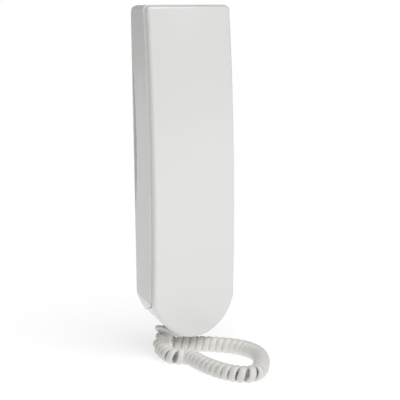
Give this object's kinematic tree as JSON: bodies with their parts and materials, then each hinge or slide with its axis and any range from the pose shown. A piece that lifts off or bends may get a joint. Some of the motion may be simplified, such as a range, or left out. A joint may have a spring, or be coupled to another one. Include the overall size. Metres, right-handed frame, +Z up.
{
  "type": "slimline wall phone",
  "caption": "Slim dial-less wall handset station: shallow wall base, full-length bowed handset with a round chin, push buttons under it and a curly cord.",
  "frame": {"origin": "centre of the two wall-screw holes on the back face, half way up the phone", "axes": "+Z up, +Y into the wall, the front faces -Y, +X to the right seen from the front"},
  "size_m": [0.068, 0.0993, 0.238],
  "materials": {
    "white_plastic": "glossy moulded",
    "plate_plastic": "fine matt moulded",
    "button_plastic": "satin moulded",
    "dark_plastic": "matt moulded",
    "board": "lacquered laminate",
    "steel": "zinc plated",
    "terminal_plastic": "moulded",
    "foam": "soft foam",
    "rubber": "soft rubber",
    "capsule_metal": "pressed can",
    "cord_plastic": "soft vinyl sheath"
  },
  "bodies": {
    "base": {"wall_plate": "plate_plastic", "base_housing": "white_plastic", "housing_screws": "steel", "circuit_board": "board", "board_screws": "steel", "terminal_block": "terminal_plastic", "terminal_screws": "steel", "button_switches": "dark_plastic", "hook_switch": "dark_plastic", "hook_spring": "steel", "buzzer": "dark_plastic", "slide_switch": "dark_plastic", "base_gland": "cord_plastic", "cord_lead_base": "cord_plastic"},
    "handset": {"handset_front": "white_plastic", "handset_rear": "white_plastic", "handset_screws": "steel", "ear_gasket": "foam", "earpiece_capsule": "capsule_metal", "microphone_boot": "rubber", "microphone_capsule": "capsule_metal", "handset_weight": "steel", "chin_gland": "cord_plastic", "cord_coil": "cord_plastic", "cord_lead_handset": "cord_plastic"},
    "hook": {"hook_plunger": "button_plastic"},
    "release": {"release_button": "button_plastic"},
    "call": {"call_button": "button_plastic"},
    "volume": {"volume_slider": "button_plastic"}
  },
  "joints": [
    {"name": "handset_lift", "type": "slide", "parent": "base", "child": "handset", "axis": [0, -1, 0], "range_m": [0, 0.03]},
    {"name": "hook_travel", "type": "slide", "parent": "base", "child": "hook", "axis": [0, -1, 0], "range_m": [0, 0.003]},
    {"name": "release_press", "type": "slide", "parent": "base", "child": "release", "axis": [0, 1, 0], "range_m": [0, 0.0015], "stiffness_N_per_m": 400, "springref_m": -0.001},
    {"name": "call_press", "type": "slide", "parent": "base", "child": "call", "axis": [0, 1, 0], "range_m": [0, 0.0015], "stiffness_N_per_m": 400, "springref_m": -0.001},
    {"name": "volume_slide", "type": "slide", "parent": "base", "child": "volume", "axis": [0, 0, 1], "range_m": [-0.004, 0.004]}
  ],
  "couplings": [
    {"joint": "hook_travel", "follows": "handset_lift", "ratio": 0.1}
  ]
}
